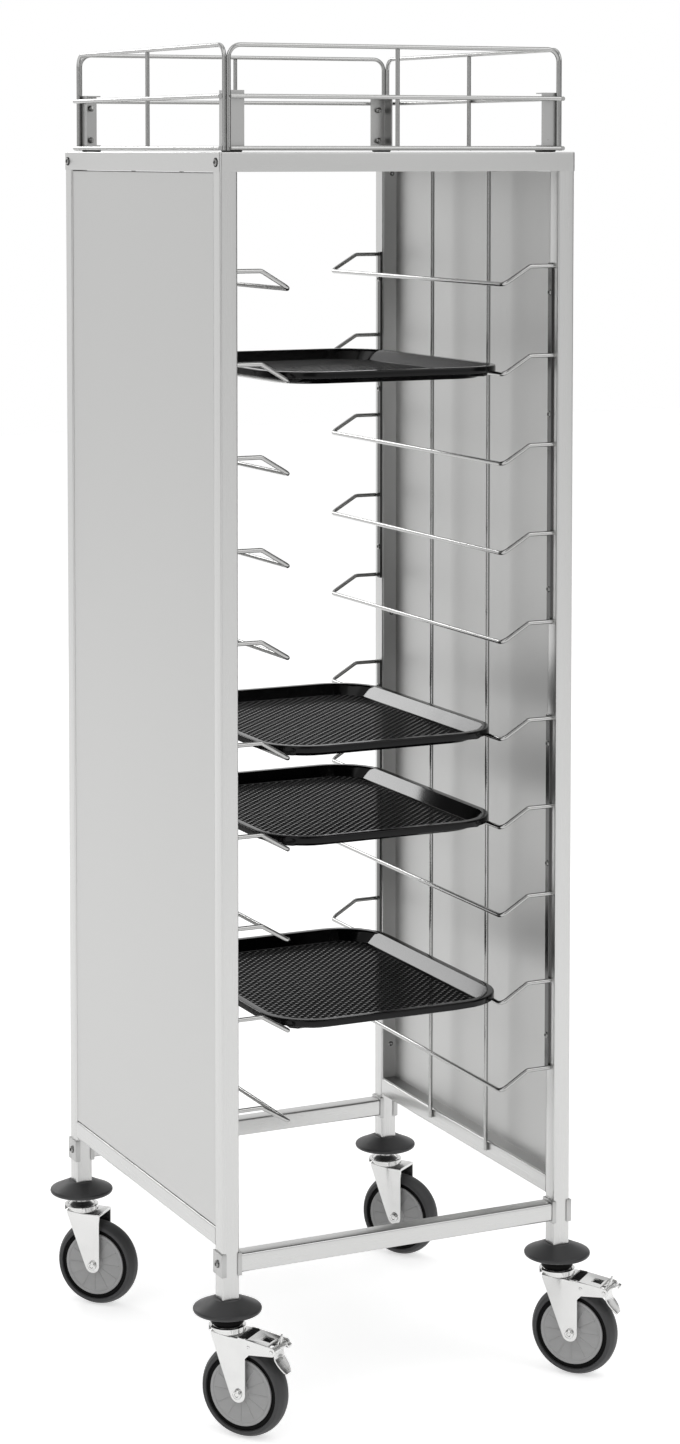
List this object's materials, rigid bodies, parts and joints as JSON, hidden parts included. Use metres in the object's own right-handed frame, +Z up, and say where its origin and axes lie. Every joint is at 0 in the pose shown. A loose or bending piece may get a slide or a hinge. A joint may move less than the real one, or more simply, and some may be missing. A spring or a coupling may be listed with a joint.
{
  "type": "gastronorm tray trolley",
  "caption": "Tall square-tube trolley on swivel casters with wire tray supports in tiers, side panels, a deck with a wire gallery, and flat trays",
  "frame": {"origin": "on the floor under the middle of the square-tube frame", "axes": "+X to the right of a person facing the open front, +Y to the back, +Z up"},
  "size_m": [0.6217, 0.6672, 1.852],
  "materials": {
    "frame_tube": "brushed along the tube",
    "cover_sheet": "fine brushed",
    "panel_sheet": "fine brushed, upright grain",
    "bracket_steel": "mill finish",
    "fastener_steel": "bright",
    "rack_wire": "electropolished",
    "gallery_wire": "electropolished",
    "pad_rubber": "matt",
    "bumper_rubber": "satin",
    "zinc_steel": "bright zinc",
    "wheel_plastic": "moulded",
    "tyre_rubber": "matt",
    "tray_plastic": "embossed, satin"
  },
  "bodies": {
    "frame": {"post_front_left": "frame_tube", "post_front_right": "frame_tube", "post_rear_left": "frame_tube", "post_rear_right": "frame_tube", "top_rail_front": "frame_tube", "top_rail_rear": "frame_tube", "top_rail_left": "frame_tube", "top_rail_right": "frame_tube", "cross_rail_front": "frame_tube", "cross_rail_rear": "frame_tube", "side_rail_left": "frame_tube", "side_rail_right": "frame_tube", "top_cover": "cover_sheet", "side_panel_left": "panel_sheet", "side_panel_right": "panel_sheet", "rail_saddles": "bracket_steel", "clamp_plates": "bracket_steel", "gallery_brackets": "bracket_steel", "clamp_bolts": "fastener_steel", "panel_screws": "fastener_steel", "cover_screws": "fastener_steel", "rack_screws": "fastener_steel", "bracket_nuts": "fastener_steel", "rack_left_upper": "rack_wire", "rack_left_lower": "rack_wire", "rack_right_upper": "rack_wire", "rack_right_lower": "rack_wire", "guard_rods": "rack_wire", "gallery_front": "gallery_wire", "gallery_rear": "gallery_wire", "gallery_left": "gallery_wire", "gallery_right": "gallery_wire", "bracket_pads": "pad_rubber", "bumper_front_left": "bumper_rubber", "bumper_front_right": "bumper_rubber", "bumper_rear_left": "bumper_rubber", "bumper_rear_right": "bumper_rubber", "caster_stems": "zinc_steel"},
    "swivel_front_left": {"fork_front_left": "zinc_steel", "axle_front_left": "zinc_steel"},
    "wheel_front_left": {"wheel_front_left": "wheel_plastic", "tyre_front_left": "tyre_rubber"},
    "pedal_front_left": {"brake_pedal_front_left": "zinc_steel"},
    "swivel_front_right": {"fork_front_right": "zinc_steel", "axle_front_right": "zinc_steel"},
    "wheel_front_right": {"wheel_front_right": "wheel_plastic", "tyre_front_right": "tyre_rubber"},
    "pedal_front_right": {"brake_pedal_front_right": "zinc_steel"},
    "swivel_rear_left": {"fork_rear_left": "zinc_steel", "axle_rear_left": "zinc_steel"},
    "wheel_rear_left": {"wheel_rear_left": "wheel_plastic", "tyre_rear_left": "tyre_rubber"},
    "swivel_rear_right": {"fork_rear_right": "zinc_steel", "axle_rear_right": "zinc_steel"},
    "wheel_rear_right": {"wheel_rear_right": "wheel_plastic", "tyre_rear_right": "tyre_rubber"},
    "tray_2": {"tray_tier_2": "tray_plastic"},
    "tray_6": {"tray_tier_6": "tray_plastic"},
    "tray_7": {"tray_tier_7": "tray_plastic"},
    "tray_9": {"tray_tier_9": "tray_plastic"}
  },
  "joints": [
    {"name": "swivel_front_left", "type": "hinge", "parent": "frame", "child": "swivel_front_left", "pos_m": [-0.2525, -0.27, 0.14], "axis": [0, 0, 1], "continuous": true},
    {"name": "roll_front_left", "type": "hinge", "parent": "swivel_front_left", "child": "wheel_front_left", "pos_m": [-0.23588, -0.29128, 0.0625], "axis": [-0.788, -0.6157, 0], "continuous": true},
    {"name": "brake_front_left", "type": "hinge", "parent": "swivel_front_left", "child": "pedal_front_left", "pos_m": [-0.20509, -0.33068, 0.1275], "axis": [-0.788, -0.6157, 0], "range_deg": [0, 25]},
    {"name": "swivel_front_right", "type": "hinge", "parent": "frame", "child": "swivel_front_right", "pos_m": [0.2525, -0.27, 0.14], "axis": [0, 0, 1], "continuous": true},
    {"name": "roll_front_right", "type": "hinge", "parent": "swivel_front_right", "child": "wheel_front_right", "pos_m": [0.26986, -0.29068, 0.0625], "axis": [-0.766, -0.6428, 0], "continuous": true},
    {"name": "brake_front_right", "type": "hinge", "parent": "swivel_front_right", "child": "pedal_front_right", "pos_m": [0.302, -0.32899, 0.1275], "axis": [-0.766, -0.6428, 0], "range_deg": [0, 25]},
    {"name": "swivel_rear_left", "type": "hinge", "parent": "frame", "child": "swivel_rear_left", "pos_m": [-0.2525, 0.27, 0.14], "axis": [0, 0, 1], "continuous": true},
    {"name": "roll_rear_left", "type": "hinge", "parent": "swivel_rear_left", "child": "wheel_rear_left", "pos_m": [-0.23374, 0.25058, 0.0625], "axis": [-0.7193, -0.6947, 0], "continuous": true},
    {"name": "swivel_rear_right", "type": "hinge", "parent": "frame", "child": "swivel_rear_right", "pos_m": [0.2525, 0.27, 0.14], "axis": [0, 0, 1], "continuous": true},
    {"name": "roll_rear_right", "type": "hinge", "parent": "swivel_rear_right", "child": "wheel_rear_right", "pos_m": [0.26837, 0.24816, 0.0625], "axis": [-0.809, -0.5878, 0], "continuous": true},
    {"name": "lift_tray_2", "type": "slide", "parent": "frame", "child": "tray_2", "axis": [0, 0, 1], "range_m": [0, 0.1]},
    {"name": "lift_tray_6", "type": "slide", "parent": "frame", "child": "tray_6", "axis": [0, 0, 1], "range_m": [0, 0.1]},
    {"name": "lift_tray_7", "type": "slide", "parent": "frame", "child": "tray_7", "axis": [0, 0, 1], "range_m": [0, 0.1]},
    {"name": "lift_tray_9", "type": "slide", "parent": "frame", "child": "tray_9", "axis": [0, 0, 1], "range_m": [0, 0.1]}
  ]
}
